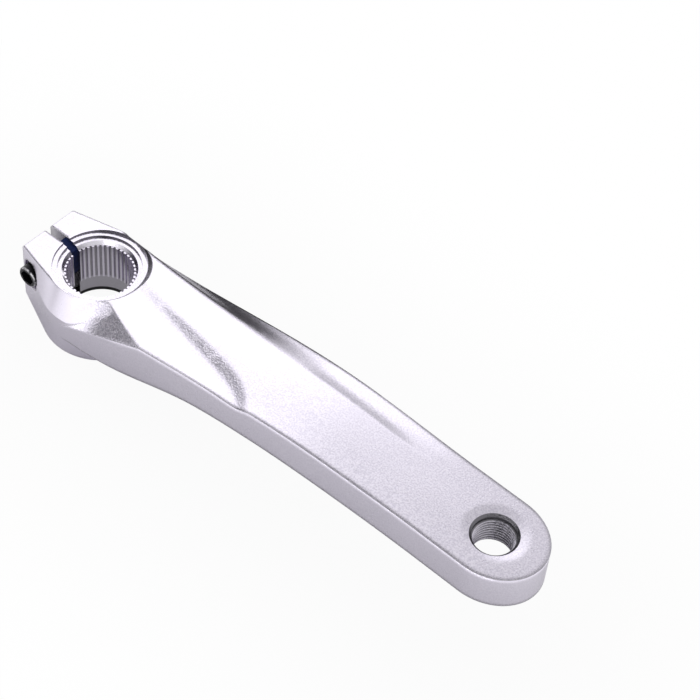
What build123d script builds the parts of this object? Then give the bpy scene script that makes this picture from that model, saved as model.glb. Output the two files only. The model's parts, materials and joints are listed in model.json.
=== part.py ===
from build123d import *
import math
import os

# Left crank arm of the two-piece kind: a forged arm that pinches on a splined spindle.
# Frame: the origin is on the spindle axis half way along the splines, +Z points outboard
# along the spindle and +X runs along the arm to the pedal. Sizes are in millimetres, and
# heights are given from the inboard face of the clamp until the pieces are placed.

# Lengths and heights
CRANK_LENGTH = 170.0       # spindle axis to pedal axis
EAR_TOP = 25.4             # outboard face of the ears above the inboard face
PEDAL_FACE = 38.7          # outboard face at the pedal eye
PEDAL_EYE_DEPTH = 14.0     # thickness of the pedal eye
RISE_START = -30.0         # the outboard face starts to climb here
RISE_END = 110.0           # and is level from here to the tip

# Clamp
CLAMP_RADIUS = 20.6        # round of the clamp and of its inboard boss
CROWN_RADIUS = 17.1        # round of the clamp at the outboard face
SHOULDER_FOOT = 16.5       # height where the sloping shoulder meets the side band
EAR_REACH = 25.6           # spindle axis to the end of the ears
EAR_HALF_WIDTH = 11.4      # across the ends of the ears
EAR_END_ROUND = 1.4        # round on the outboard edge of the ear ends
SLIT_WIDTH = 3.0
BOSS_ROUND = 1.2           # round of the edge of the inboard face

# Spindle bore
SPINDLE_DIAMETER = 24.0
PILOT_CLEARANCE = 0.05     # radial, between spindle and plain bore
SPLINE_COUNT = 44
SPLINE_DEPTH = 0.6
SPLINE_TIP_SHARE = 0.45    # part of the pitch that is tooth at its tip
SPLINE_ROOT_SHARE = 0.65   # part of the pitch that is tooth at its root
SPLINE_BOTTOM = 7.6        # the splines stand on the plain bore from here
SPLINE_TOP = 23.0
LEAD_IN = 0.85             # radial, how far the lead-in above the splines opens
LEAD_RADIUS = SPINDLE_DIAMETER / 2 + PILOT_CLEARANCE + LEAD_IN
CAP_SEAT = 24.4            # floor of the inner step
CAP_SEAT_RADIUS = 14.4
CAP_STEP = 25.2            # floor of the outer step
CAP_STEP_RADIUS = 16.2
FLARE_START = 26.6         # the mouth flares from here up, where the arm rises
FLARE_ANGLE = 42.0         # degrees from the axis

# Seal at the inboard end of the bore
SEAL_THICKNESS = 1.6
SEAL_WALL = 2.5            # radial, from the seal's bore to its outside
SEAL_CLEARANCE = 0.05      # radial, in its recess
SEAL_LIP = 0.1             # radial, between seal and spindle
SEAL_OUTER_RADIUS = SPINDLE_DIAMETER / 2 + SEAL_LIP + SEAL_WALL

# Pinch bolts, one from each side
BOLT_X = -19.5
OUTER_BOLT_Z = 16.7
INNER_BOLT_Z = 6.6
BOLT_DIAMETER = 6.0
BOLT_LENGTH = 19.0         # under the head
BOLT_TIP_CHAMFER = 0.6
BOLT_HOLE_CLEARANCE = 0.2  # radial, in the ear under the head
THREAD_CLEARANCE = 0.05    # radial, in the tapped ear
TAP_RUNOUT = 1.6           # hole past the tip of the bolt
HEAD_DIAMETER = 7.8
HEAD_HEIGHT = 6.0
HEAD_EDGE = 0.4
HEAD_SEAT = 9.6            # from the slit's middle plane to the face under the head
HEAD_POCKET_DIAMETER = 10.4
HEX_ACROSS_FLATS = 5.0
HEX_DEPTH = 3.2

# Stop plate, nipped in the slit between the bolts and the spindle
PLATE_REACH = 18.2         # spindle axis to the outer end of the plate
PLATE_NOSE = 12.7          # spindle axis to the end that faces the spindle
PLATE_OUTER_TOP = 24.8
PLATE_NOSE_TOP = 23.2
PLATE_BOTTOM = 12.0
PLATE_BOLT_CLEARANCE = 0.2

# Arm in plan
ARM_TAPER = 0.033          # slope of the arm's sides where they leave the clamp
ARM_MIDDLE = 80.0
ARM_HALF_WIDTH_MIDDLE = 17.7
ARM_EYE = 150.0
ARM_HALF_WIDTH_EYE = 15.5
TIP_REACH = 18.2           # pedal axis to the tip

# Underside of the arm, from the clamp's boss to the pedal eye
UNDERSIDE_CLAMP = 7.0
HAUNCH_START = 24.0
UNDERSIDE_HAUNCH_START = 10.0
HAUNCH_END = 58.0
UNDERSIDE_HAUNCH_END = 20.4
UNDERSIDE_MIDDLE = 23.4
UNDERSIDE_LEVEL = 125.0    # level from here to the tip

# Shallow facet on the -Y side: a soft crease that runs across the face and turns to the edge
NEAR_CREASE_START = (14.0, 5.8)
NEAR_CREASE_END = (78.0, -7.6)
NEAR_FACET_END = (85.0, -16.0)
NEAR_DEPTH_START = 0.8
NEAR_DEPTH_END = 1.4
NEAR_CREASE_WIDTH = 5.0
NEAR_FACET_FADE = 6.0      # the facet's hollow runs out over this width
NEAR_LEAN_MIDDLE = 1.1     # the -Y edge lies this much below the ridge half way
NEAR_LEAN_EYE = 0.4        # and this much at the pedal eye

# Long facet on the +Y side, from the crown along the arm
FAR_CREASE_END = 120.0
FAR_CREASE_Y_END = 7.0
FAR_DEPTH = 8.6
FAR_FACET_END = 130.0
FAR_CREASE_SOFTNESS = 0.2

# Scoop beside the crown, a flat cut down to the side band, through three points
SCOOP_CROWN = (14.0, -11.0, 27.3)
SCOOP_TIP = (38.5, -19.1, 31.0)
SCOOP_FOOT = (16.3, -20.2, 20.5)
SCOOP_ROUND = 5.0

# Pedal thread, 9/16 inch by 20 threads to the inch, left handed
PEDAL_THREAD_DIAMETER = 14.29
PEDAL_MOUTH_CHAMFER = 0.8
PEDAL_DISH_RADIUS = 11.0
PEDAL_DISH_SPHERE = 80.0

FACE_START = -37.6         # the outboard face is drawn from here, past the ears, to past the tip
GRID_X = 3.0               # spacing of the points that it is drawn through
GRID_Y = 1.0
OVERCUT = 12.0             # tools run past the part by this much


def smoothstep(t):
    t = min(max(t, 0.0), 1.0)
    return t * t * (3 - 2 * t)


def soft_positive(t, softness):
    """Zero below zero and t above it, with a rounded turn."""
    return 0.5 * (t + math.sqrt(t * t + softness * softness))


def soft_min(a, b, softness):
    return a - soft_positive(a - b, softness)


def mix(a, b, t):
    return a + (b - a) * t


def ridge_height(x):
    return mix(EAR_TOP, PEDAL_FACE, smoothstep((x - RISE_START) / (RISE_END - RISE_START)))


def clamp_touch(radius):
    """Point where the straight side of an ear meets the round of the clamp."""
    distance = math.hypot(EAR_REACH, EAR_HALF_WIDTH)
    bearing = math.atan2(EAR_HALF_WIDTH, -EAR_REACH)
    angle = bearing - math.acos(radius / distance)
    return radius * math.cos(angle), radius * math.sin(angle)


def clamp_half_width(radius, x):
    """Half width of the clamp's outline, on the ear side of the spindle."""
    touch_x, touch_y = clamp_touch(radius)
    if x > touch_x:
        return math.sqrt(radius ** 2 - x ** 2)
    return mix(EAR_HALF_WIDTH, touch_y, (x + EAR_REACH) / (touch_x + EAR_REACH))


def arm_start():
    """Point where the arm's side leaves the round of the clamp, tangent to it."""
    angle = math.atan(ARM_TAPER)
    return CLAMP_RADIUS * math.sin(angle), CLAMP_RADIUS * math.cos(angle)


def arm_half_width(x):
    if x < 0:
        return clamp_half_width(CLAMP_RADIUS, x)
    if x < ARM_MIDDLE:
        return mix(CLAMP_RADIUS, ARM_HALF_WIDTH_MIDDLE, x / ARM_MIDDLE)
    return mix(ARM_HALF_WIDTH_MIDDLE, ARM_HALF_WIDTH_EYE,
               min((x - ARM_MIDDLE) / (ARM_EYE - ARM_MIDDLE), 1))


def near_drop(x, y):
    """Depth of the outboard face below the ridge on the -Y side."""
    (x0, y0), (x1, y1), (x2, y2) = NEAR_CREASE_START, NEAR_CREASE_END, NEAR_FACET_END
    slope = (y1 - y0) / (x1 - x0)
    lean = (x2 - x1) / (y1 - y2)
    from_crease = (y0 + slope * (x - x0) - y) / math.hypot(1, slope)
    from_end = (x1 + lean * (y1 - y) - x) / math.hypot(1, lean)
    inside = soft_min(from_crease, from_end, NEAR_CREASE_WIDTH)
    hollow = smoothstep(inside / NEAR_CREASE_WIDTH)
    hollow *= math.exp(-(max(inside - NEAR_CREASE_WIDTH, 0) / NEAR_FACET_FADE) ** 2)
    depth = mix(NEAR_DEPTH_START, NEAR_DEPTH_END, min(max((x - x0) / (x1 - x0), 0), 1))
    edge = mix(NEAR_LEAN_MIDDLE, NEAR_LEAN_EYE, smoothstep((x - ARM_MIDDLE / 2) / ARM_MIDDLE))
    fade_in = smoothstep((x + x0) / (3 * x0))
    return fade_in * (depth * hollow + edge * smoothstep(-y / arm_half_width(x)))


def far_drop(x, y):
    """Depth of the long facet on the +Y side below the ridge."""
    along = soft_positive(x, OVERCUT)
    left = max(1 - along / FAR_CREASE_END, 0)
    crease = mix(FAR_CREASE_Y_END, CROWN_RADIUS, left ** 1.5)
    depth = FAR_DEPTH * (1 - smoothstep(along / FAR_FACET_END)) * smoothstep(1 + x / OVERCUT)
    width = arm_half_width(along) - crease
    t = soft_positive((y - crease) / width, FAR_CREASE_SOFTNESS)
    return depth * t * (1.5 - 0.5 * min(t, 1.5))


def outboard_cutter():
    """Everything outboard of the sculpted face."""
    start, end = FACE_START, CRANK_LENGTH + TIP_REACH + OVERCUT
    reach = CLAMP_RADIUS + 1.4
    columns = math.ceil((end - start) / GRID_X)
    rows = math.ceil(2 * reach / GRID_Y)
    points = []
    for i in range(columns + 1):
        x = mix(start, end, i / columns)
        heights = ((y, ridge_height(x) - near_drop(x, y) - far_drop(x, y))
                   for y in (mix(-reach, reach, j / rows) for j in range(rows + 1)))
        points.append([Vector(x, y, z) for y, z in heights])
    face = Face.make_surface_from_array_of_points(points, tol=0.01, min_deg=3, max_deg=5)
    return Solid.extrude(face, (0, 0, PEDAL_FACE))


def clamp_outline(radius, height):
    """Round of the given radius drawn out by tangents to the ends of the ears."""
    touch_x, touch_y = clamp_touch(radius)
    upper = Line((-EAR_REACH, EAR_HALF_WIDTH), (touch_x, touch_y))
    crown = ThreePointArc((touch_x, touch_y), (radius, 0), (touch_x, -touch_y))
    lower = Line((touch_x, -touch_y), (-EAR_REACH, -EAR_HALF_WIDTH))
    end = Line((-EAR_REACH, -EAR_HALF_WIDTH), (-EAR_REACH, EAR_HALF_WIDTH))
    return Pos(0, 0, height) * make_face([upper, crown, lower, end])


def make_clamp():
    """Clamp with its sloping shoulder, taller than the outboard face that will cut it."""
    top = PEDAL_FACE + OVERCUT
    slope = (CLAMP_RADIUS - CROWN_RADIUS) / (ridge_height(0) - SHOULDER_FOOT)
    top_radius = CLAMP_RADIUS - slope * (top - SHOULDER_FOOT)
    lower = extrude(clamp_outline(CLAMP_RADIUS, 0), SHOULDER_FOOT)
    sections = [clamp_outline(CLAMP_RADIUS, SHOULDER_FOOT), clamp_outline(top_radius, top)]
    return lower + loft(sections, ruled=True)


def arm_plan():
    start_x, start_y = arm_start()
    upper = Spline((start_x, start_y), (ARM_MIDDLE, ARM_HALF_WIDTH_MIDDLE),
                   (ARM_EYE, ARM_HALF_WIDTH_EYE), (CRANK_LENGTH, ARM_HALF_WIDTH_EYE),
                   tangents=[(1, -ARM_TAPER), (1, 0)])
    lower = mirror(upper, Plane.XZ)
    tip = EllipticalCenterArc((CRANK_LENGTH, 0), TIP_REACH, ARM_HALF_WIDTH_EYE,
                              start_angle=-90, arc_size=180)
    back = Line((start_x, -start_y), (start_x, start_y))
    return make_face([upper, tip, lower, back])


def underside_cutter():
    """Everything inboard of the arm's underside."""
    eye = PEDAL_FACE - PEDAL_EYE_DEPTH
    start, end = -1, CRANK_LENGTH + TIP_REACH + OVERCUT
    curve = Spline((start, UNDERSIDE_CLAMP), (HAUNCH_START, UNDERSIDE_HAUNCH_START),
                   (HAUNCH_END, UNDERSIDE_HAUNCH_END), (ARM_MIDDLE, UNDERSIDE_MIDDLE),
                   (UNDERSIDE_LEVEL, eye), tangents=[(1, 0.05), (1, 0)])
    level = Line((UNDERSIDE_LEVEL, eye), (end, eye))
    around = Polyline((end, eye), (end, -OVERCUT), (start, -OVERCUT), (start, UNDERSIDE_CLAMP))
    profile = Plane.XZ * make_face([curve, level, around])
    return extrude(profile, CLAMP_RADIUS + OVERCUT, both=True)


def scoop_cutter():
    crown, tip, foot = Vector(SCOOP_CROWN), Vector(SCOOP_TIP), Vector(SCOOP_FOOT)
    normal = (foot - crown).cross(tip - crown).normalized()
    plane = Plane(origin=crown, x_dir=(tip - crown).normalized(), z_dir=normal)
    size = 4 * CLAMP_RADIUS
    return plane * Pos(0, 0, size / 2) * Box(size, size, size)


def make_body():
    """Forged blank: arm and clamp, before machining."""
    arm = extrude(arm_plan(), PEDAL_FACE + OVERCUT)
    arm -= underside_cutter()
    arm -= scoop_cutter()
    blank = arm + make_clamp()
    valley = blank.edges().sort_by_distance(Vector(SCOOP_CROWN))[0]
    body = fillet(valley, SCOOP_ROUND) - outboard_cutter()
    ear_end = body.edges().sort_by_distance(Vector(-EAR_REACH, 0, EAR_TOP))[0]
    body = fillet(ear_end, EAR_END_ROUND)
    foot = body.edges().group_by(Axis.Z)[0]
    boss = [edge for edge in foot if edge.center().X > -EAR_REACH + SLIT_WIDTH]
    return fillet(boss, BOSS_ROUND)


def cone(bottom, top):
    """Frustum on the spindle axis between two (radius, height) points."""
    profile = Polyline((0, bottom[1]), bottom, top, (0, top[1]), close=True)
    return revolve(Plane.XZ * make_face(profile), Axis.Z)


def cylinder(radius, bottom, top):
    return cone((radius, bottom), (radius, top))


def polar(radius, angle):
    return radius * math.cos(angle), radius * math.sin(angle)


def spline_profile():
    """Toothed outline of the bore: the hole, with its teeth standing inwards."""
    root = SPINDLE_DIAMETER / 2 + PILOT_CLEARANCE
    tip = root - SPLINE_DEPTH
    pitch = 2 * math.pi / SPLINE_COUNT
    edges = []
    for i in range(SPLINE_COUNT):
        middle = i * pitch
        tip_angle = SPLINE_TIP_SHARE * pitch / 2
        root_angle = SPLINE_ROOT_SHARE * pitch / 2
        foot = polar(root, middle - root_angle)
        rise = polar(tip, middle - tip_angle)
        fall = polar(tip, middle + tip_angle)
        heel = polar(root, middle + root_angle)
        edges.append(Line(foot, rise))
        edges.append(ThreePointArc(rise, polar(tip, middle), fall))
        next_foot = polar(root, middle + pitch - root_angle)
        edges.append(Line(fall, heel))
        edges.append(ThreePointArc(heel, polar(root, middle + pitch / 2), next_foot))
    return make_face(edges)


def bore_cutter():
    pilot = SPINDLE_DIAMETER / 2 + PILOT_CLEARANCE
    high = PEDAL_FACE + OVERCUT
    flare = CAP_STEP_RADIUS + (high - FLARE_START) * math.tan(math.radians(FLARE_ANGLE))
    tool = Pos(0, 0, SPLINE_BOTTOM) * extrude(spline_profile(), SPLINE_TOP - SPLINE_BOTTOM)
    tool += cylinder(pilot, 0, SPLINE_BOTTOM)
    tool += cylinder(SEAL_OUTER_RADIUS + SEAL_CLEARANCE, -OVERCUT, SEAL_THICKNESS)
    tool += cone((pilot, SPLINE_TOP), (LEAD_RADIUS, CAP_SEAT))
    tool += cylinder(CAP_SEAT_RADIUS, CAP_SEAT, CAP_STEP)
    tool += cylinder(CAP_STEP_RADIUS, CAP_STEP, high)
    tool += cone((CAP_STEP_RADIUS, FLARE_START), (flare, high))
    return tool


def slit_cutter():
    length = EAR_REACH + OVERCUT
    return Pos(-length / 2, 0, PEDAL_FACE / 2) * Box(length, SLIT_WIDTH, PEDAL_FACE + 2 * OVERCUT)


def at_bolt(height, side, thing):
    """Puts a thing built along +Z on a bolt's axis, with +Z running from the head into the far ear."""
    turn = Rot(-90, 0, 0) if side < 0 else Rot(90, 0, 0)
    return Pos(BOLT_X, 0, height) * turn * thing


def bolt_hole_cutter(height, side):
    pocket = cylinder(HEAD_POCKET_DIAMETER / 2, -CLAMP_RADIUS - OVERCUT, -HEAD_SEAT)
    passage = cylinder(BOLT_DIAMETER / 2 + BOLT_HOLE_CLEARANCE, -HEAD_SEAT, 0)
    tapped = cylinder(BOLT_DIAMETER / 2 + THREAD_CLEARANCE, 0, BOLT_LENGTH - HEAD_SEAT + TAP_RUNOUT)
    return at_bolt(height, side, pocket + passage + tapped)


def make_pinch_bolt(height, side):
    radius, tip = BOLT_DIAMETER / 2, BOLT_LENGTH - HEAD_SEAT
    head_radius, face = HEAD_DIAMETER / 2, -HEAD_SEAT - HEAD_HEIGHT
    outline = Polyline((0, face), (head_radius - HEAD_EDGE, face), (head_radius, face + HEAD_EDGE),
                       (head_radius, -HEAD_SEAT), (radius, -HEAD_SEAT), (radius, tip - BOLT_TIP_CHAMFER),
                       (radius - BOLT_TIP_CHAMFER, tip), (0, tip), close=True)
    bolt = revolve(Plane.XZ * make_face(outline), Axis.Z)
    socket = RegularPolygon(HEX_ACROSS_FLATS / 2, 6, major_radius=False)
    bolt -= Pos(0, 0, face) * extrude(socket, HEX_DEPTH)
    return at_bolt(height, side, bolt)


def make_stop_plate():
    outline = Polyline((-PLATE_REACH, PLATE_OUTER_TOP), (-PLATE_NOSE, PLATE_NOSE_TOP),
                       (-PLATE_NOSE, PLATE_BOTTOM), (-PLATE_REACH, PLATE_BOTTOM), close=True)
    plate = extrude(Plane.XZ * make_face(outline), SLIT_WIDTH / 2, both=True)
    grip = cylinder(BOLT_DIAMETER / 2 + PLATE_BOLT_CLEARANCE, -CLAMP_RADIUS, CLAMP_RADIUS)
    return plate - at_bolt(OUTER_BOLT_Z, -1, grip)


def make_seal_ring():
    inner = SPINDLE_DIAMETER / 2 + SEAL_LIP
    return cylinder(SEAL_OUTER_RADIUS, 0, SEAL_THICKNESS) - cylinder(inner, -OVERCUT, OVERCUT)


def pedal_hole_cutter():
    radius = PEDAL_THREAD_DIAMETER / 2
    wide = radius + PEDAL_MOUTH_CHAMFER
    under = PEDAL_FACE - PEDAL_EYE_DEPTH
    dish_drop = PEDAL_DISH_SPHERE - math.sqrt(PEDAL_DISH_SPHERE ** 2 - PEDAL_DISH_RADIUS ** 2)
    mouth = PEDAL_FACE - dish_drop + wide ** 2 / (2 * PEDAL_DISH_SPHERE)
    tool = cylinder(radius, under - OVERCUT, PEDAL_FACE + OVERCUT)
    tool += cone((radius, mouth - PEDAL_MOUTH_CHAMFER), (wide + OVERCUT, mouth + OVERCUT))
    tool += cone((wide + OVERCUT, under - OVERCUT), (radius, under + PEDAL_MOUTH_CHAMFER))
    tool += Pos(0, 0, PEDAL_FACE - dish_drop + PEDAL_DISH_SPHERE) * Sphere(PEDAL_DISH_SPHERE)
    return Pos(CRANK_LENGTH, 0, 0) * tool


def make_crank_arm():
    arm = make_body()
    arm -= bore_cutter()
    arm -= slit_cutter()
    arm -= bolt_hole_cutter(OUTER_BOLT_Z, -1)
    arm -= bolt_hole_cutter(INNER_BOLT_Z, 1)
    arm -= pedal_hole_cutter()
    return arm


if __name__ == "__main__":
    os.makedirs("parts", exist_ok=True)
    nodes = {
        "crank_arm": make_crank_arm(),
        "pinch_bolt_outer": make_pinch_bolt(OUTER_BOLT_Z, -1),
        "pinch_bolt_inner": make_pinch_bolt(INNER_BOLT_Z, 1),
        "stop_plate": make_stop_plate(),
        "seal_ring": make_seal_ring(),
    }
    placed = Pos(0, 0, -(SPLINE_BOTTOM + SPLINE_TOP) / 2)
    for name, node in nodes.items():
        export_step(placed * node, f"parts/{name}.step")
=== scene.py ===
import json
import math

import bmesh
import bpy
from mathutils import Euler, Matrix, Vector


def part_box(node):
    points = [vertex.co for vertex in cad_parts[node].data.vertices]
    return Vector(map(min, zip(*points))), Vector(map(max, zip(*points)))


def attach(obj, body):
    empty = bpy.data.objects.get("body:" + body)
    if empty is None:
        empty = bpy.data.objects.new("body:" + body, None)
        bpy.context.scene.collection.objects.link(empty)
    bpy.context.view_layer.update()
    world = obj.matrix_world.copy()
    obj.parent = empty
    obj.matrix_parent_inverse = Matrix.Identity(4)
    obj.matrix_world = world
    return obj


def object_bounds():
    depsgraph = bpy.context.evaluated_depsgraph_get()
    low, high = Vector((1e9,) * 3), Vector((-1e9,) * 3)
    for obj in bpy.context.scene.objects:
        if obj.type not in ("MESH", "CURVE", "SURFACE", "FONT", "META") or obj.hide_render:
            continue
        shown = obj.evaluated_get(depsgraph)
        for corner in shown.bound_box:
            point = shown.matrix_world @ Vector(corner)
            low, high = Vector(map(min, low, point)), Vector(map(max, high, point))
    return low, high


bl_info = {
    "name": "Bicycle Crank Arm",
    "version": (1, 0, 0),
    "blender": (4, 5, 0),
    "location": "View3D > Sidebar > Crank",
    "description": "Dresses a silver crank arm: finishes, pedal thread and a white studio",
    "category": "Object",
}

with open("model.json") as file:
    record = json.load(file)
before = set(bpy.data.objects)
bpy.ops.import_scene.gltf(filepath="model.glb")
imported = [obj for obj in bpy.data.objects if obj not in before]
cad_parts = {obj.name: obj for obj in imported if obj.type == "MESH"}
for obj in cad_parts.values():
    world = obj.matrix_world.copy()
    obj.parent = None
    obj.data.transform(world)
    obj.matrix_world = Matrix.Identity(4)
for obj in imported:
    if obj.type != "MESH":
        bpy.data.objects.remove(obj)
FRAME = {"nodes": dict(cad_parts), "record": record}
NODES = FRAME["nodes"]
CAD_LOW, CAD_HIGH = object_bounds()
MOUNTS = {mount["name"]: mount for mount in FRAME["record"]["mounts"]}
PEDAL = Vector(MOUNTS["pedal_thread"]["pos_m"])
PEDAL_RADIUS = MOUNTS["pedal_thread"]["dims"]["r_mm"] / 1000
PEDAL_LENGTH = MOUNTS["pedal_thread"]["dims"]["length_mm"] / 1000
BOLT_LOW, BOLT_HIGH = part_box("pinch_bolt_outer")

# Spans over which a mask goes from 0 to 1: places and radii in metres, in the row frame.
BORE_MOUTH = (0.0225, 0.0235)
BORE_RIM = (0.0165, 0.0175)
TURNED_RIM = (0.0158, 0.0166)
STEP_WALLS = (0.0140, 0.0142)
SPLINE_ROOTS = (0.0118, 0.0120)
SPLINE_TIPS = (0.0115, 0.0117)
SPLINE_ENDS = (5.8e-5, 6.0e-5)       # square of the height
PILOT_TOP = (0.0076, 0.0080)         # depth below the origin
SLIT_WIDTH = (2.4e-6, 2.6e-6)        # square of the distance from the middle
SLIT_END = (-0.011, -0.009)
EYE_RIM = (0.0085, 0.0095)
EYE_MOUTH = (0.0078, 0.0082)
THREAD_ROOTS = (0.0065, 0.0069)
CLAMP_END = (0.004, 0.012)
SCOOP_START = (0.008, 0.018)
SHOULDER_START = (-0.014, -0.001)
SHOULDER_END = (0.004, 0.021)
SHOULDER_SIDE = (0.007, 0.010)       # towards -Y
CROWN_REACH = (0.002, 0.007)
ARM_START = (0.018, 0.034)
NEAR_SIDE = (0, 0.004)
FAR_CREASE_SOFTENS = (0.06, 0.09)
FURROW_NEAR = (-0.0008, 0.0008)      # from the furrow's line, towards the far edge
FURROW_FAR = (0.001, 0.005)
FURROW_START = (0.078, 0.092)
FURROW_END = (0.118, 0.142)
BANK_NEAR = (0.002, 0.006)
BANK_START = (0.085, 0.105)
BANK_END = (0.12, 0.15)

# The same for the way that a face looks: parts of a unit normal.
LOOKS_AT_AXIS = (0.25, 0.5)
LOOKS_ACROSS_SLIT = (0.7, 0.9)       # square of the part along Y
LOOKS_NEAR = (0.2, 0.5)
OFF_UPRIGHT = (0.1, 0.3)
OFF_SIDE = (0.1, 0.6)
HALF_UP = (0.3, 0.6)
MOSTLY_UP = (0.5, 0.8)
TOP_FACE = (0.8, 0.9)
EDGE_TURN = (0.006, 0.1)             # 1 less the cosine of the turn
LIP_TURN = (0.04, 0.2)

# Shares of duller turned metal that is partly painted shade, of painted shade in the holes, the slit, the
# scoop and on the edges, and of more speckled metal.
BORE_TURNED_AND_SHADE = 0.7
ROOT_PAINTED_SHADE, STEP_PAINTED_SHADE, PILOT_PAINTED_SHADE = 0.65, 0.85, 0.4
EYE_PAINTED_SHADE, THREAD_PAINTED_SHADE, SLIT_PAINTED_SHADE = 0.25, 0.7, 0.2
EDGE_PAINTED_SHADE, SCOOP_PAINTED_SHADE = 0.65, 0.3
SPECKLE_SPAN = (0.36, 0.64)
SIDE_SPECKLE, TOP_SPECKLE, SCOOP_SPECKLE = 0.25, 0.4, 2.2
CLAMP_EVEN, CLAMP_SMOOTH = 0.8, 0.9
SCOOP_DEPTH = 4                      # how much deeper the grain is in the scoop
CLOUD_SCALE, CLOUD_SHARE = 45.0, 0.3
STREAK_SCALE = 420.0
STREAK_ROUGH, SPECKLE_ROUGH, TURNED_SMOOTH, EDGE_SMOOTH = 0.06, 0.1, 0.08, 0.6
GRAIN_DEPTH = 0.00012

# Normals that the shading eases towards.
BEVEL_SAMPLES = 6
LIP_SPREAD, LIP_RISE = (0.85, 0.85, 0.85), (0, 0, 0.53)
CROWN_X, CROWN_Y, CROWN_SHARE = 0.014, -0.011, 0.7
FURROW_LEAN, FURROW_OFFSET = 0.026, 0.0105
FURROW_NORMAL = (-0.09, 0.32, 0.943)
BANK_NORMAL = (-0.09, 0.03, 0.99)

# Finishes of the small pieces. A bump has a strength and a depth.
CLOUD_SPAN = (0.3, 0.7)
BOLT_RIM = (0.0033, 0.0037)
BOLT_RIM_HEIGHT = (0.0004, 0.0008)
BOLT_CLOUD, BOLT_GRAIN, BOLT_BUMP = 700.0, 3500.0, (0.12, 0.00005)
BOLT_RIM_PATCHES = (0.3, 0.55)
BOLT_METAL, BOLT_ROUGH, BOLT_ROUGH_SPREAD = 0.75, 0.3, 0.15
PLATE_CLOUD, PLATE_GRAIN, PLATE_BUMP = 600.0, 5000.0, (0.1, 0.00004)
PLATE_SHADE, PLATE_SHINE, PLATE_ROUGH, PLATE_ROUGH_SPREAD = 0.7, 0.2, 0.42, 0.12
SEAL_CLOUD, SEAL_BUMP = 900.0, (0.15, 0.00006)
SEAL_SHADE, SEAL_ROUGH, SEAL_ROUGH_SPREAD = 1.8, 0.5, 0.2

# The ridge of the pedal thread.
CREST_SHARE, ROOT_SHARE = 0.08, 0.46  # half widths, as shares of the pitch
THREAD_BITE = 3e-5                   # how far it reaches into the eye's wall
THREAD_FADE = 3.0                    # it grows over a third of a turn

# Sockets of the Mix node, which share their names: first input, second input, output.
MIX_SOCKETS = {"RGBA": (6, 7, 2), "VECTOR": (4, 5, 1)}

# The stage: places from the middle of the part, in metres.
SOFTBOXES = (
    # name, place, size, setting that holds the power
    ("key_softbox", (-0.62, 0.44, 0.62), (0.74, 0.74), "key_power"),
    ("front_strip", (-0.05, -0.8, 0.24), (1.1, 0.14), "strip_power"),
)
CARDS = (
    # name, place, size, tone, where it starts to pale (0 its middle, 0.5 its edge)
    ("end_card", (-0.60, -0.22, 0.15), (0.8, 0.56), 0.09, 0.25),
    ("top_card", (-0.46, -0.07, 0.42), (0.3, 0.26), 0.05, 0.15),
    ("edge_card", (-0.05, -0.3, 0.6), (1.0, 0.46), 0.02, 0.3),
)
BACK_CARD_PLACE, BACK_CARD_TARGET = Vector((0.08, 0.056, 0.003)), Vector((0.08, 0, 0.003))
BACK_CARD_SIZE, BACK_CARD_TONE, BACK_CARD_PALES = (0.23, 0.038), 0.008, 0.46
SENSOR = 36.0
FLOOR_SIZE, FLOOR_X, FLOOR_GAP = 12, 0.08, 0.0004
FLOOR_TONE = 0.78
FLOOR_LINE = 0.085                   # half of the part's centre line
FLOOR_WHITE = 0.94                   # share of white next to the part
FLOOR_CLEARS = (0.01, 0.14)
FLOOR_CLEARS_IN_METAL = (0.014, 0.1)
# Painted light: a pool of white on the floor under the bore, seen only in the metal.
BORE_PAINTED_LIGHT, BORE_PAINTED_LIGHT_EDGE = 0.3, (0.010, 0.013)
CEILING_DIMS = (0.5, 0.75)
BACK_DIMS = (0.55, 0.85)
BACK_DIMS_LEFT = (-0.4, -0.15)


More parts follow.
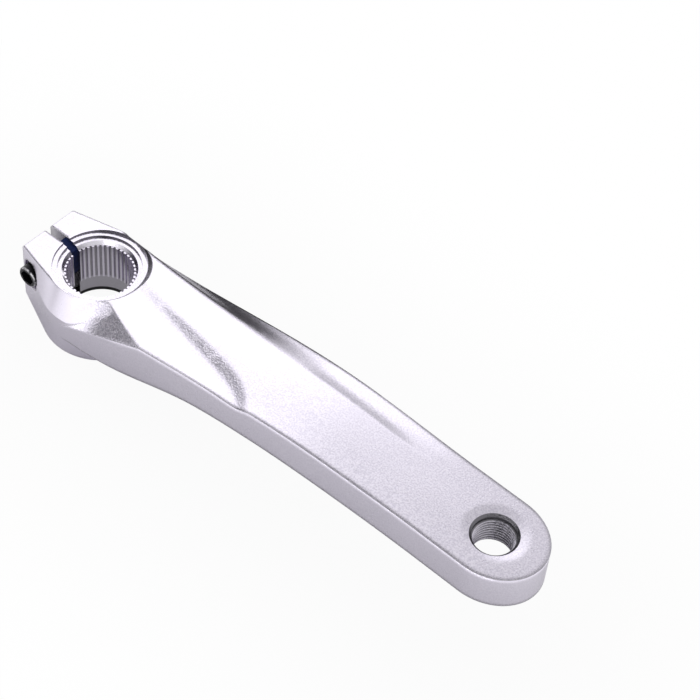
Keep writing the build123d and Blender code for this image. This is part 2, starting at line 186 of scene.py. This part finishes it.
class Wire:
    """A shader socket that takes part in expressions and can grow other nodes."""

    def __init__(self, tree, socket=None):
        self.tree = tree
        self.socket = socket

    def node(self, kind, settings=None, inputs=None, output=0):
        made = self.tree.nodes.new(kind)
        for name, value in (settings or {}).items():
            setattr(made, name, value)
        for name, value in (inputs or {}).items():
            if isinstance(value, Wire):
                self.tree.links.new(value.socket, made.inputs[name])
            else:
                made.inputs[name].default_value = value
        return Wire(self.tree, made.outputs[output] if made.outputs else None)

    def show(self, output="ShaderNodeOutputMaterial"):
        """Makes this shader the surface of its material or world."""
        self.node(output, None, {"Surface": self})

    def math(self, operation, *values):
        return self.node("ShaderNodeMath", {"operation": operation}, dict(enumerate(values)))

    def vector_math(self, operation, *values, output="Vector"):
        return self.node("ShaderNodeVectorMath", {"operation": operation},
                         dict(enumerate(values)), output)

    def __add__(self, other):
        return self.math("ADD", self, other)

    def __radd__(self, other):
        return self.math("ADD", other, self)

    def __sub__(self, other):
        return self.math("SUBTRACT", self, other)

    def __rsub__(self, other):
        return self.math("SUBTRACT", other, self)

    def __mul__(self, other):
        return self.math("MULTIPLY", self, other)

    def __rmul__(self, other):
        return self.math("MULTIPLY", other, self)

    def __truediv__(self, other):
        return self.math("DIVIDE", self, other)

    def __pow__(self, other):
        return self.math("POWER", self, other)

    def __abs__(self):
        return self.math("ABSOLUTE", self)

    def highest(self, other):
        return self.math("MAXIMUM", self, other)

    def between(self, low, high):
        """0 at low, 1 at high, smooth in between."""
        return self.node("ShaderNodeMapRange", {"interpolation_type": "SMOOTHSTEP"},
                         {"Value": self, "From Min": low, "From Max": high})

    def before(self, low, high):
        """1 at low, 0 at high, smooth in between."""
        return 1 - self.between(low, high)

    def noise(self, scale, detail):
        return self.node("ShaderNodeTexNoise", None, {"Vector": self, "Scale": scale, "Detail": detail})

    def axes(self):
        return [self.node("ShaderNodeSeparateXYZ", None, {0: self}, axis) for axis in range(3)]

    def mix(self, kind, first, second):
        """Mixes two sockets or values, with this socket as the share of the second."""
        a, b, output = MIX_SOCKETS[kind]
        return self.node("ShaderNodeMix", {"data_type": kind}, {0: self, a: first, b: second}, output)

    def blend(self, first, second):
        return self.mix("RGBA", first, second)

    def between_vectors(self, first, second):
        return self.mix("VECTOR", first, second)

    def bump(self, strength, distance, normal=None):
        inputs = {"Height": self, "Strength": strength, "Distance": distance}
        if normal:
            inputs["Normal"] = normal
        return self.node("ShaderNodeBump", None, inputs)


def length_of(a, b):
    """Length of a flat vector."""
    return (a * a + b * b) ** 0.5


def new_material(name):
    """An empty material and a Wire to build it with."""
    material = bpy.data.materials.new(name)
    material.use_nodes = True
    material.node_tree.nodes.clear()
    return material, Wire(material.node_tree)


def principled(start, inputs):
    start.node("ShaderNodeBsdfPrincipled", None, inputs).show()


def place_of(start):
    """Position in the object's frame, in metres: for a piece of the part, the row frame."""
    return start.node("ShaderNodeTexCoord", None, None, "Object")


class Surface:
    """Where a point of the arm lies and which way it looks, as sockets."""

    def __init__(self, start):
        self.place = place_of(start)
        self.facing = start.node("ShaderNodeNewGeometry", None, None, "True Normal")
        self.x, self.y, self.z = self.place.axes()
        self.across, self.along, self.up = self.facing.axes()
        self.from_spindle = length_of(self.x, self.y)
        self.from_pedal = length_of(self.x - PEDAL.x, self.y)

    def hole_wall(self, axis_x, radius, mouth):
        """1 on walls that look at an upright axis from inside its hole's mouth."""
        towards = ((self.x - axis_x) * self.across + self.y * self.along) / radius * -1
        return towards.between(*LOOKS_AT_AXIS) * radius.before(*mouth)


def hole_painted_shade(at):
    """How far the walls of the holes and the slit go to the turned metal's tone, partly its own and partly
    painted shade, and how much painted shade their recesses get.
    """
    bore = at.hole_wall(0, at.from_spindle, BORE_MOUTH)
    tips = at.from_spindle.before(*SPLINE_TIPS)
    roots = at.from_spindle.between(*SPLINE_ROOTS) * (at.z * at.z).before(*SPLINE_ENDS)
    steps = at.from_spindle.between(*STEP_WALLS)
    pilot = (0 - at.z).between(*PILOT_TOP)
    eye = at.hole_wall(PEDAL.x, at.from_pedal, EYE_MOUTH)
    thread = at.from_pedal.between(*THREAD_ROOTS)
    slit = (at.along * at.along).between(*LOOKS_ACROSS_SLIT)
    slit = slit * (at.y * at.y).before(*SLIT_WIDTH) * at.x.before(*SLIT_END)
    # Partly the turned metal's own tone and partly painted shade: the bore's walls, all but the spline
    # tips, and the slit.
    turned_and_shaded = bore * (1 - tips) * BORE_TURNED_AND_SHADE + slit
    # Painted shade in the recesses: the spline roots, the counterbore steps, the pilot, the pedal eye and
    # its thread, and the slit.
    painted_shade = bore * (roots * ROOT_PAINTED_SHADE + steps * STEP_PAINTED_SHADE + pilot * PILOT_PAINTED_SHADE)
    painted_shade = painted_shade + eye * (EYE_PAINTED_SHADE + THREAD_PAINTED_SHADE * thread) + slit * SLIT_PAINTED_SHADE
    return turned_and_shaded, painted_shade


def rounded_normal(start, look, at):
    """Normal with its edges rounded, outside the holes, and how far a point is on an edge."""
    crisp, soft = [start.node("ShaderNodeBevel", {"samples": BEVEL_SAMPLES}, {"Radius": radius})
                   for radius in (look.clamp_round, look.arm_round)]
    on_arm = at.x.between(*ARM_START)
    softens = at.y.before(*NEAR_SIDE).highest(at.x.between(*FAR_CREASE_SOFTENS))
    rounded = (on_arm * softens).between_vectors(crisp, soft)
    in_hole = at.from_spindle.before(*BORE_RIM).highest(at.from_pedal.before(*EYE_RIM))
    plain = start.node("ShaderNodeNewGeometry", None, None, "Normal")
    rounded = in_hole.between_vectors(rounded, plain)
    turn = rounded.vector_math("DOT_PRODUCT", rounded, at.facing, output="Value")
    edge = (1 - turn).between(*EDGE_TURN)
    lip = (rounded.axes()[2] - at.up).between(*LIP_TURN) * at.up.before(*HALF_UP) * on_arm
    raised = at.facing.vector_math("MULTIPLY_ADD", at.facing, LIP_SPREAD, LIP_RISE)
    return lip.between_vectors(rounded, raised), edge


def eased_normal(look, at, normal, edge):
    """Eases the clamp's shoulder into the scoop, and draws the far facet out along the arm."""
    slope = at.x.node("ShaderNodeCombineXYZ", None,
                      {0: at.x, 1: at.y, 2: at.from_spindle * look.shoulder_lean})
    slope = slope.vector_math("NORMALIZE", slope)
    crown = length_of(at.x - CROWN_X, at.y - CROWN_Y).before(*CROWN_REACH) * CROWN_SHARE
    shoulder = at.x.between(*SHOULDER_START) * at.x.before(*SHOULDER_END).highest(crown)
    shoulder = shoulder * (0 - at.y).between(*SHOULDER_SIDE)
    shoulder = shoulder * at.up.between(*OFF_UPRIGHT) * at.up.before(*TOP_FACE)
    normal = shoulder.between_vectors(normal, slope)

    beyond = at.y + FURROW_LEAN * at.x - FURROW_OFFSET
    on_top = at.up.between(*TOP_FACE)
    bank = beyond.between(*BANK_NEAR) * at.x.between(*BANK_START) * at.x.before(*BANK_END) * on_top
    normal = (bank * (1 - edge)).between_vectors(normal, BANK_NORMAL)
    furrow = beyond.between(*FURROW_NEAR) * beyond.before(*FURROW_FAR) * on_top
    furrow = furrow * at.x.between(*FURROW_START) * at.x.before(*FURROW_END)
    return furrow.between_vectors(normal, FURROW_NORMAL)


def silver_finish(look):
    """Clear anodised forging with a fine speckle, duller turned metal in its holes that is partly painted
    shade, and painted shade in the holes' recesses, in the slit, on the scoop and along the edges.
    """
    material, start = new_material("silver")
    at = Surface(start)
    speckle = at.place.noise(look.speckle_scale, 1.0)
    cloud = at.place.noise(CLOUD_SCALE, 3.0)
    streak = at.place.noise(STREAK_SCALE, 2.0)
    rounded, edge = rounded_normal(start, look, at)
    turned_and_shaded, painted_shade = hole_painted_shade(at)

    scoop = (0 - at.along).between(*LOOKS_NEAR) * at.up.between(*HALF_UP) * at.x.between(*SCOOP_START)
    clamp_side = at.x.before(*CLAMP_END) * at.up.before(*TOP_FACE)
    speckled = SIDE_SPECKLE + TOP_SPECKLE * at.up.between(*OFF_SIDE)
    speckled = speckled * (1 - CLAMP_EVEN * clamp_side) + SCOOP_SPECKLE * scoop
    grain = 0.5 + (speckle.between(*SPECKLE_SPAN) - 0.5) * speckled
    # Painted shade: the scoop, a face turned away from the light, is pulled towards the shade colour.
    grain = grain + (cloud - 0.5) * CLOUD_SHARE - SCOOP_PAINTED_SHADE * scoop
    # Painted shade colour, which the holes' recesses and the edges are darkened towards.
    painted_shade_colour = (*look.painted_shade_colour, 1)
    colour = grain.blend((*look.silver_shade, 1), (*look.silver, 1))
    # The walls go to the turned tone, partly real and partly painted shade; the recesses go to the painted
    # shade colour.
    colour = painted_shade.blend(turned_and_shaded.blend(colour, (*look.turned, 1)), painted_shade_colour)
    # Painted shade: thin darker lines along the edges of upward faces.
    colour = (edge * at.up.between(*MOSTLY_UP) * EDGE_PAINTED_SHADE).blend(colour, painted_shade_colour)

    turned = at.from_spindle.before(*TURNED_RIM)
    roughness = look.silver_roughness + (streak - 0.5) * STREAK_ROUGH + (speckle - 0.5) * SPECKLE_ROUGH
    roughness = (roughness - turned * TURNED_SMOOTH) * (1 - edge * EDGE_SMOOTH)

    depth = speckle * (1 + scoop * SCOOP_DEPTH) * (1 - CLAMP_SMOOTH * clamp_side)
    grained = depth.bump(look.speckle, GRAIN_DEPTH, eased_normal(look, at, rounded, edge))
    principled(start, {"Base Color": colour, "Metallic": 1.0, "Roughness": roughness, "Normal": grained})
    return material


def bolt_finish(look):
    """Black oxide steel, lighter in cloudy patches on the rim of the head."""
    material, start = new_material("bolt")
    place = place_of(start)
    x, y, z = place.axes()
    cloud = place.noise(BOLT_CLOUD, 3.0)
    grain = place.noise(BOLT_GRAIN, 1.0)
    middle = (BOLT_LOW + BOLT_HIGH) / 2
    radius = length_of(x - middle.x, z - middle.z)
    # A lighter colour in cloudy patches on the rim of the head.
    rim = radius.between(*BOLT_RIM) * (y - BOLT_LOW.y).before(*BOLT_RIM_HEIGHT)
    lighter_rim = rim * cloud.between(*BOLT_RIM_PATCHES)
    colour = lighter_rim.blend((*look.bolt, 1), (*look.bolt_rim_colour, 1))
    principled(start, {"Base Color": colour, "Metallic": BOLT_METAL,
                       "Roughness": BOLT_ROUGH + cloud * BOLT_ROUGH_SPREAD,
                       "Normal": grain.bump(*BOLT_BUMP)})
    return material


def plate_finish(look):
    """Dark blue moulded plastic."""
    material, start = new_material("plate")
    place = place_of(start)
    cloud = place.noise(PLATE_CLOUD, 2.0)
    grain = place.noise(PLATE_GRAIN, 1.0)
    shade = [part * PLATE_SHADE for part in look.plate]
    colour = cloud.between(*CLOUD_SPAN).blend((*look.plate, 1), (*shade, 1))
    principled(start, {"Base Color": colour, "Specular IOR Level": PLATE_SHINE,
                       "Roughness": PLATE_ROUGH + cloud * PLATE_ROUGH_SPREAD,
                       "Normal": grain.bump(*PLATE_BUMP)})
    return material


def seal_finish(look):
    """Black rubber."""
    material, start = new_material("seal")
    cloud = place_of(start).noise(SEAL_CLOUD, 2.0)
    shade = [part * SEAL_SHADE for part in look.seal]
    colour = cloud.between(*CLOUD_SPAN).blend((*look.seal, 1), (*shade, 1))
    principled(start, {"Base Color": colour, "Roughness": SEAL_ROUGH + cloud * SEAL_ROUGH_SPREAD,
                       "Normal": cloud.bump(*SEAL_BUMP)})
    return material


def dress(node, material):
    """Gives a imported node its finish."""
    mesh = NODES[node].data
    mesh.materials.clear()
    mesh.materials.append(material)


def add_mesh(name, vertices, faces, material):
    mesh = bpy.data.meshes.new(name)
    mesh.from_pydata(vertices, [], faces)
    shape = bmesh.new()
    shape.from_mesh(mesh)
    bmesh.ops.recalc_face_normals(shape, faces=shape.faces)
    shape.to_mesh(mesh)
    shape.free()
    piece = bpy.data.objects.new(name, mesh)
    bpy.context.scene.collection.objects.link(piece)
    mesh.materials.append(material)
    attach(piece, "root")


class CrankLook(bpy.types.PropertyGroup):
    silver: bpy.props.FloatVectorProperty(
        name="Silver", description="Colour of the polished arm",
        subtype="COLOR", default=(0.94, 0.895, 1.0))
    # Also the colour that the scoop's painted shade tends towards.
    silver_shade: bpy.props.FloatVectorProperty(
        name="Silver shade", description="Darker clouds in the arm's colour",
        subtype="COLOR", default=(0.70, 0.665, 0.775))
    silver_roughness: bpy.props.FloatProperty(
        name="Silver roughness", description="Blur of the arm's reflections",
        subtype="FACTOR", default=0.3, min=0, max=1)
    speckle: bpy.props.FloatProperty(
        name="Speckle", description="Strength of the fine grain",
        subtype="FACTOR", default=0.35, min=0, max=1)
    speckle_scale: bpy.props.FloatProperty(
        name="Speckle scale", description="Grains to the metre", default=1800.0)
    # Partly the turned metal's own tone and partly painted shade on the walls of the holes and the slit.
    turned: bpy.props.FloatVectorProperty(
        name="Turned metal", description="Duller metal on the walls of the holes",
        subtype="COLOR", default=(0.72, 0.70, 0.755))
    # Painted shade: the colour that the recesses of the holes, the slit and the edges are darkened towards.
    painted_shade_colour: bpy.props.FloatVectorProperty(
        name="Grooves", description="Dark metal deep in the splines, steps and thread",
        subtype="COLOR", default=(0.12, 0.116, 0.128))
    shoulder_lean: bpy.props.FloatProperty(
        name="Shoulder lean", description="Slope that eases the clamp's shoulder into the scoop",
        default=0.62)
    arm_round: bpy.props.FloatProperty(
        name="Arm round", description="Radius that the arm's edges catch the light with",
        subtype="DISTANCE", default=0.0022)
    clamp_round: bpy.props.FloatProperty(
        name="Clamp round", description="Radius that the clamp's edges catch the light with",
        subtype="DISTANCE", default=0.0013)
    bolt: bpy.props.FloatVectorProperty(
        name="Bolt", description="Colour of the pinch bolts",
        subtype="COLOR", default=(0.02, 0.02, 0.024))
    # A lighter colour in cloudy patches on the rim of a bolt's head.
    bolt_rim_colour: bpy.props.FloatVectorProperty(
        name="Bolt, worn", description="Bare steel on the rim of a bolt's head",
        subtype="COLOR", default=(0.62, 0.61, 0.64))
    plate: bpy.props.FloatVectorProperty(
        name="Stop plate", description="Colour of the plate in the slit",
        subtype="COLOR", default=(0.006, 0.018, 0.1))
    seal: bpy.props.FloatVectorProperty(
        name="Seal", description="Colour of the ring at the foot of the bore",
        subtype="COLOR", default=(0.008, 0.008, 0.009))


class CrankThread(bpy.types.PropertyGroup):
    pitch: bpy.props.FloatProperty(
        name="Pitch", description="Height of one turn, 20 turns to the inch",
        subtype="DISTANCE", default=0.00127)
    depth: bpy.props.FloatProperty(
        name="Depth", description="Height of the thread's ridge",
        subtype="DISTANCE", default=0.0007)
    steps: bpy.props.IntProperty(name="Steps", description="Steps in one turn", default=72, min=12)


class CrankStudio(bpy.types.PropertyGroup):
    camera_place: bpy.props.FloatVectorProperty(
        name="Camera place", description="Where the camera stands",
        subtype="TRANSLATION", default=(0.36533, -0.33997, 0.57082))
    camera_turn: bpy.props.FloatVectorProperty(
        name="Camera turn", description="How the camera is turned", subtype="EULER",
        default=[math.radians(a) for a in (39.5974, -3.67584, 41.51024)])
    lens: bpy.props.FloatProperty(
        name="Lens", description="Focal length in millimetres", unit="CAMERA", default=113.978)
    key_power: bpy.props.FloatProperty(
        name="Key power", description="Watts of the overhead softbox", unit="POWER", default=1.26)
    strip_power: bpy.props.FloatProperty(
        name="Strip power", description="Watts of the low strip in front", unit="POWER", default=0.6)
    ambient: bpy.props.FloatProperty(
        name="Ambient", description="Light from all round", default=0.58)
    ceiling: bpy.props.FloatProperty(
        name="Ceiling", description="How far the metal sees the ceiling dim",
        subtype="FACTOR", default=1.0, min=0, max=1)


class CRANK_OT_arm(bpy.types.Operator):
    """Finish the forged arm"""
    bl_idname = "crank.arm"
    bl_label = "Arm"

    def execute(self, context):
        dress("crank_arm", silver_finish(context.scene.crank_look))
        return {"FINISHED"}


class CRANK_OT_clamp_parts(bpy.types.Operator):
    """Finish the pinch bolts, the stop plate and the seal"""
    bl_idname = "crank.clamp_parts"
    bl_label = "Bolts, plate and seal"

    def execute(self, context):
        look = context.scene.crank_look
        bolt = bolt_finish(look)
        dress("pinch_bolt_outer", bolt)
        dress("pinch_bolt_inner", bolt)
        dress("stop_plate", plate_finish(look))
        dress("seal_ring", seal_finish(look))
        return {"FINISHED"}


class CRANK_OT_pedal_thread(bpy.types.Operator):
    """Cut the left-hand thread of the pedal eye"""
    bl_idname = "crank.pedal_thread"
    bl_label = "Pedal thread"

    def execute(self, context):
        thread = context.scene.crank_thread
        low = PEDAL.z - PEDAL_LENGTH / 2
        turns = (PEDAL_LENGTH - thread.pitch) / thread.pitch
        steps = round(turns * thread.steps)
        crest, root = thread.pitch * CREST_SHARE, thread.pitch * ROOT_SHARE
        outer = PEDAL_RADIUS + THREAD_BITE
        vertices, faces = [], []
        for i in range(steps + 1):
            angle = -2 * math.pi * i / thread.steps
            height = low + thread.pitch / 2 + thread.pitch * i / thread.steps
            fade = min(1.0, THREAD_FADE * i / thread.steps, THREAD_FADE * (steps - i) / thread.steps)
            inner = PEDAL_RADIUS - thread.depth * fade
            for radius, offset in ((outer, -root), (inner, -crest), (inner, crest), (outer, root)):
                vertices.append((PEDAL.x + radius * math.cos(angle),
                                 PEDAL.y + radius * math.sin(angle), height + offset))
        for i in range(steps):
            for k in range(4):
                a, b = 4 * i + k, 4 * i + (k + 1) % 4
                faces.append((a, b, b + 4, a + 4))
        faces.append((3, 2, 1, 0))
        faces.append(tuple(4 * steps + k for k in range(4)))
        add_mesh("pedal_thread", vertices, faces, NODES["crank_arm"].data.materials[0])
        return {"FINISHED"}


class CRANK_OT_studio(bpy.types.Operator):
    """Set up the camera, the floor and the light"""
    bl_idname = "crank.studio"
    bl_label = "Studio"

    def execute(self, context):
        studio = context.scene.crank_studio
        self.add_camera(context.scene, studio)
        self.add_floor()
        self.add_world(context.scene, studio)
        centre = (CAD_LOW + CAD_HIGH) / 2
        for name, place, size, power in SOFTBOXES:
            self.add_softbox(name, centre + Vector(place), centre, size, getattr(studio, power))
        self.add_card("back_card", BACK_CARD_PLACE, BACK_CARD_TARGET,
                      BACK_CARD_SIZE, BACK_CARD_TONE, BACK_CARD_PALES)
        for name, place, size, tone, pales in CARDS:
            self.add_card(name, centre + Vector(place), centre, size, tone, pales)
        context.scene.view_settings.view_transform = "Standard"
        return {"FINISHED"}

    def add_camera(self, scene, studio):
        data = bpy.data.cameras.new("camera")
        data.lens = studio.lens
        data.sensor_width = SENSOR
        camera = bpy.data.objects.new("camera", data)
        camera.location = studio.camera_place
        camera.rotation_euler = Euler(studio.camera_turn)
        scene.collection.objects.link(camera)
        scene.camera = camera

    def add_floor(self):
        """A white floor that keeps the shadow near the part, most of all in the metal's reflections, with a
        painted pool of light under the bore that only the metal sees.
        """
        bpy.ops.mesh.primitive_plane_add(size=FLOOR_SIZE, location=(FLOOR_X, 0, CAD_LOW.z - FLOOR_GAP))
        floor = bpy.context.object
        floor.name = "floor"
        material, start = new_material("floor")
        x, y = place_of(start).axes()[:2]
        away = length_of((abs(x) - FLOOR_LINE).highest(0), y)
        from_spindle = length_of(x + FLOOR_X, y)
        camera, glossy, glass = self.seen_rays(start)
        tone = (FLOOR_TONE, FLOOR_TONE, FLOOR_TONE, 1)
        diffuse = start.node("ShaderNodeBsdfDiffuse", None, {"Color": tone})
        white = start.node("ShaderNodeEmission", None, {"Color": (1, 1, 1, 1), "Strength": 1.0})
        seen = FLOOR_WHITE + (1 - FLOOR_WHITE) * away.between(*FLOOR_CLEARS)
        # Painted light: the floor under the bore shows white in the metal's reflections.
        painted_light = from_spindle.before(*BORE_PAINTED_LIGHT_EDGE) * BORE_PAINTED_LIGHT
        reflected = away.between(*FLOOR_CLEARS_IN_METAL).highest(painted_light)
        share = (camera + glass) * seen + glossy * reflected
        start.node("ShaderNodeMixShader", None, {0: share, 1: diffuse, 2: white}).show()
        floor.data.materials.append(material)

    def seen_rays(self, start):
        """1 for rays from the camera, in the metal and through glass."""
        return [start.node("ShaderNodeLightPath", None, None, name)
                for name in ("Is Camera Ray", "Is Glossy Ray", "Is Transmission Ray")]

    def add_world(self, scene, studio):
        world = bpy.data.worlds.new("studio")
        world.use_nodes = True
        world.node_tree.nodes.clear()
        start = Wire(world.node_tree)
        camera, glossy, glass = self.seen_rays(start)
        across, along, up = start.node("ShaderNodeTexCoord", None, None, "Generated").axes()
        soft = start.node("ShaderNodeBackground", None, {"Color": (1, 1, 1, 1), "Strength": studio.ambient})
        white = start.node("ShaderNodeBackground", None, {"Color": (1, 1, 1, 1), "Strength": 1.0})
        back = along.between(*BACK_DIMS) * across.before(*BACK_DIMS_LEFT)
        dim = up.between(*CEILING_DIMS).highest(back)
        share = camera + glass + glossy * (1 - studio.ceiling * dim)
        mixed = start.node("ShaderNodeMixShader", None, {0: share, 1: soft, 2: white})
        mixed.show("ShaderNodeOutputWorld")
        scene.world = world

    def add_softbox(self, name, place, target, size, power):
        data = bpy.data.lights.new(name, "AREA")
        data.shape = "RECTANGLE"
        data.size, data.size_y = size
        data.energy = power
        lamp = bpy.data.objects.new(name, data)
        lamp.location = place
        lamp.rotation_euler = (target - place).to_track_quat("-Z", "Y").to_euler()
        bpy.context.scene.collection.objects.link(lamp)

    def add_card(self, name, place, target, size, tone, pales):
        """A grey card that only shows in the metal and pales towards its edges."""
        bpy.ops.mesh.primitive_plane_add(size=1, location=place)
        card = bpy.context.object
        card.name = name
        card.scale = (*size, 1)
        card.rotation_euler = (target - place).to_track_quat("Z", "Y").to_euler()
        material, start = new_material(name)
        across, along = start.node("ShaderNodeTexCoord", None, None, "Generated").axes()[:2]
        from_middle = abs(across - 0.5).between(pales, 0.5).highest(abs(along - 0.5).between(pales, 0.5))
        colour = from_middle.blend((tone, tone, tone, 1), (1, 1, 1, 1))
        start.node("ShaderNodeEmission", None, {"Color": colour, "Strength": 1.0}).show()
        card.data.materials.append(material)
        card.visible_camera = False
        card.visible_diffuse = False
        card.visible_shadow = False


class CRANK_PT_panel(bpy.types.Panel):
    """Builds the crank arm's looks"""
    bl_label = "Crank arm"
    bl_idname = "CRANK_PT_panel"
    bl_space_type = "VIEW_3D"
    bl_region_type = "UI"
    bl_category = "Crank"

    def draw(self, context):
        for group in (context.scene.crank_look, context.scene.crank_thread, context.scene.crank_studio):
            box = self.layout.box()
            for name in group.__annotations__:
                box.prop(group, name)
        for operator in OPERATORS:
            self.layout.operator(operator.bl_idname)


OPERATORS = (CRANK_OT_arm, CRANK_OT_clamp_parts, CRANK_OT_pedal_thread, CRANK_OT_studio)
CLASSES = (CrankLook, CrankThread, CrankStudio, *OPERATORS, CRANK_PT_panel)


def register():
    for each in CLASSES:
        bpy.utils.register_class(each)
    bpy.types.Scene.crank_look = bpy.props.PointerProperty(type=CrankLook)
    bpy.types.Scene.crank_thread = bpy.props.PointerProperty(type=CrankThread)
    bpy.types.Scene.crank_studio = bpy.props.PointerProperty(type=CrankStudio)


def unregister():
    del bpy.types.Scene.crank_studio
    del bpy.types.Scene.crank_thread
    del bpy.types.Scene.crank_look
    for each in reversed(CLASSES):
        bpy.utils.unregister_class(each)


def main():
    register()
    bpy.ops.crank.arm()
    bpy.ops.crank.clamp_parts()
    bpy.ops.crank.pedal_thread()
    bpy.ops.crank.studio()


if __name__ == "__main__":
    main()
